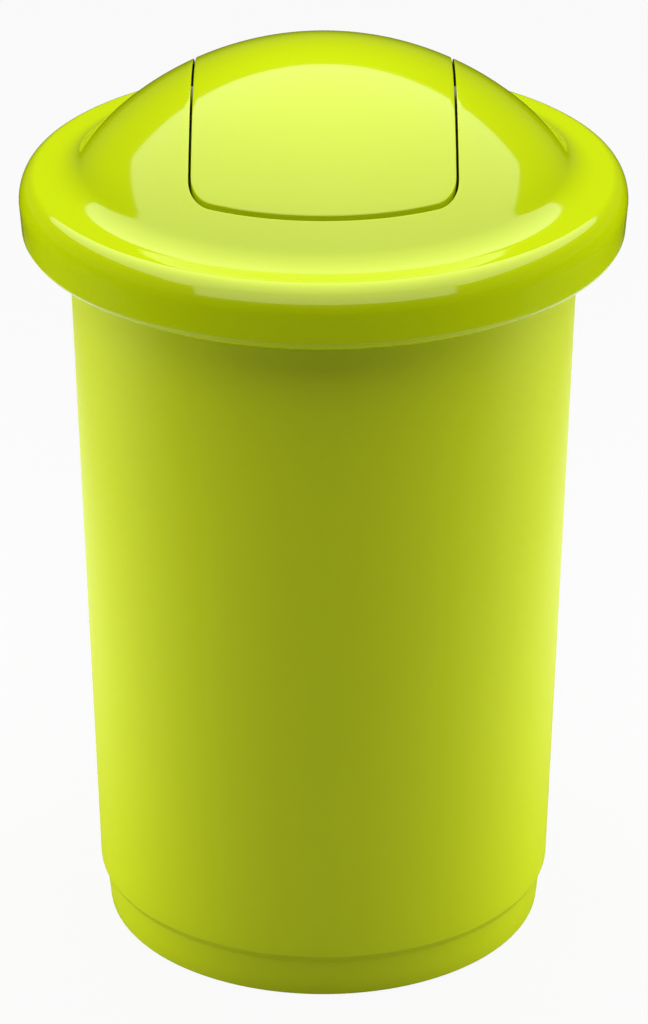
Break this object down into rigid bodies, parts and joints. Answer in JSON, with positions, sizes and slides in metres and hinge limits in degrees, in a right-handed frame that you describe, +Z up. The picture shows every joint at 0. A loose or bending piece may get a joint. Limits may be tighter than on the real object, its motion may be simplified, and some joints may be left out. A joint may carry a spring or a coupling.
{
  "type": "swing flap recycling bin",
  "caption": "Round tapered household bin with a domed lift-off lid, a deep rolled brim and a self-closing flap that swings both ways.",
  "frame": {"origin": "on the ground at the centre of the foot", "axes": "+Z up along the bin's own axis, the flap's pivots lie along X, and the front faces -Y"},
  "size_m": [0.4099, 0.41, 0.6386],
  "materials": {
    "satin_lime": "satin moulded polypropylene, lime green",
    "gloss_lime": "gloss moulded polypropylene, lime green",
    "white_acetal": "smooth off-white acetal",
    "bright_steel": "zinc plated steel",
    "plain_iron": "plain turned slug",
    "dark_cap": "dark moulded cap"
  },
  "bodies": {
    "bin": {"bin_body": "satin_lime"},
    "lid": {"lid_dome": "gloss_lime", "pivot_bush_left": "white_acetal", "pivot_bush_right": "white_acetal"},
    "flap": {"swing_flap": "gloss_lime", "pivot_pin_left": "bright_steel", "pivot_pin_right": "bright_steel", "lock_washer_left": "bright_steel", "lock_washer_right": "bright_steel", "ballast_slug_left": "plain_iron", "ballast_slug_right": "plain_iron", "ballast_cap_left": "dark_cap", "ballast_cap_right": "dark_cap"}
  },
  "joints": [
    {"name": "lid_lift", "type": "slide", "parent": "bin", "child": "lid", "axis": [0, 0, 1], "range_m": [0, 0.12]},
    {"name": "flap_swing", "type": "hinge", "parent": "lid", "child": "flap", "pos_m": [0, 0, 0.60601], "axis": [1, 0, 0], "range_deg": [-70, 70]}
  ]
}
